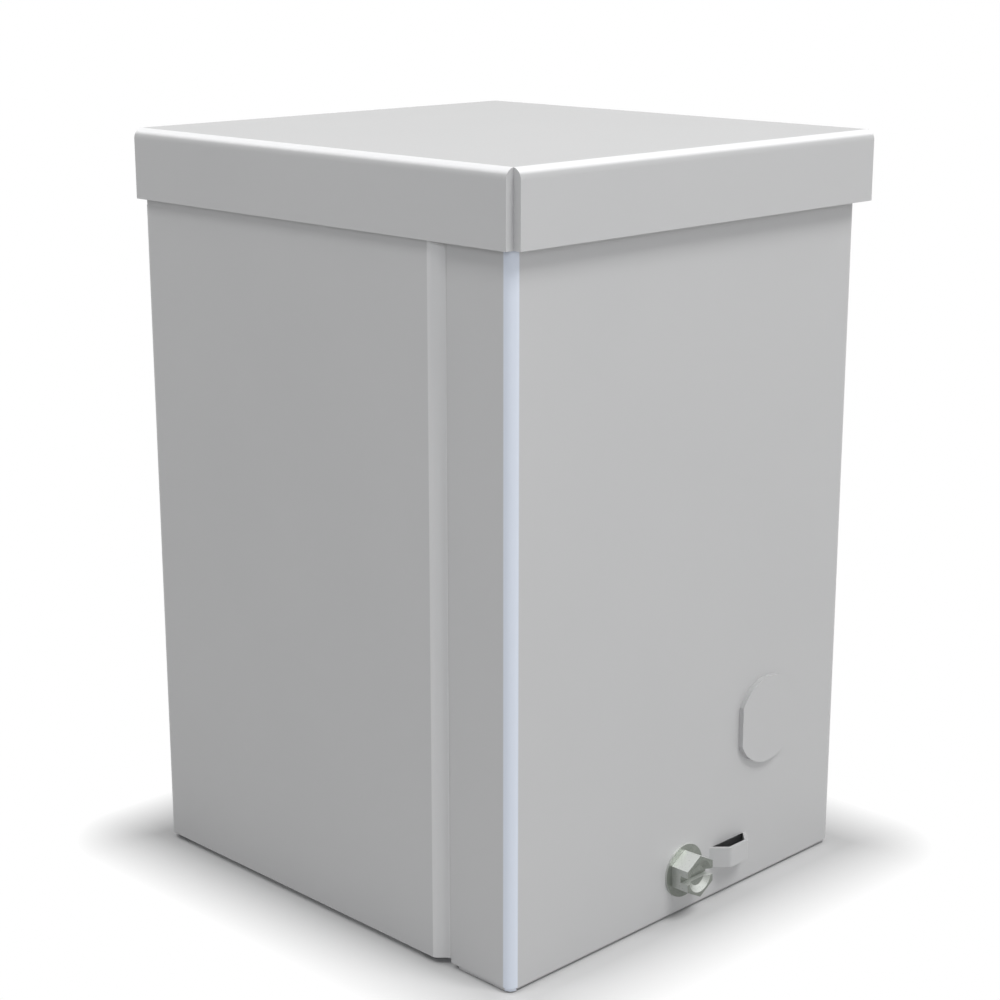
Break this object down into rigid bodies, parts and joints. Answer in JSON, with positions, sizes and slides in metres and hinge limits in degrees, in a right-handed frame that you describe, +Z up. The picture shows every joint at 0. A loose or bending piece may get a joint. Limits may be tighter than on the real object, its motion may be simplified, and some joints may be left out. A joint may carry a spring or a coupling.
{
  "type": "electrical enclosure",
  "caption": "Grey folded-steel wall box with an overhanging drip cap and a hook-on front cover held by a slotted hex flange screw beside a padlock strap.",
  "frame": {"origin": "on the underside of the base pan, under the middle of the drip cap", "axes": "+Z up, the front cover faces -Y, +X to the right as seen from the front"},
  "size_m": [0.207, 0.2199, 0.3061],
  "materials": {
    "grey_paint": "light grey powder coat, fine satin texture",
    "bright_plate": "bright plated steel, turned and slotted",
    "zinc_plate": "zinc-plated steel",
    "white_paint": "white gloss enamel",
    "tinned_lug": "tin-plated aluminium"
  },
  "bodies": {
    "housing": {"rear_housing": "grey_paint", "base_pan": "grey_paint", "header_rail": "grey_paint", "drip_cap": "grey_paint", "weld_nut": "zinc_plate", "mounting_panel": "white_paint", "panel_studs": "zinc_plate", "panel_washers": "zinc_plate", "panel_nuts": "zinc_plate", "ground_stud": "zinc_plate", "ground_washer": "zinc_plate", "ground_nut": "zinc_plate", "ground_lug": "tinned_lug", "ground_lug_screw": "zinc_plate"},
    "cover": {"front_cover": "grey_paint", "padlock_strap": "grey_paint"},
    "retainer": {"screw_retainer": "zinc_plate"},
    "screw": {"cover_screw": "bright_plate"}
  },
  "joints": [
    {"name": "cover_tilt", "type": "hinge", "parent": "housing", "child": "cover", "pos_m": [0, -0.092, 0.29], "axis": [-1, 0, 0], "range_deg": [0, 14]},
    {"name": "retainer_slide", "type": "slide", "parent": "cover", "child": "retainer", "axis": [0, -1, 0], "range_m": [0, 0.00952]},
    {"name": "screw_turn", "type": "hinge", "parent": "retainer", "child": "screw", "pos_m": [0, -0.1022, 0.0187], "axis": [0, -1, 0], "range_deg": [0, 2160]}
  ],
  "couplings": [
    {"joint": "retainer_slide", "follows": "screw_turn", "m_per_rad": 0.00025266}
  ]
}
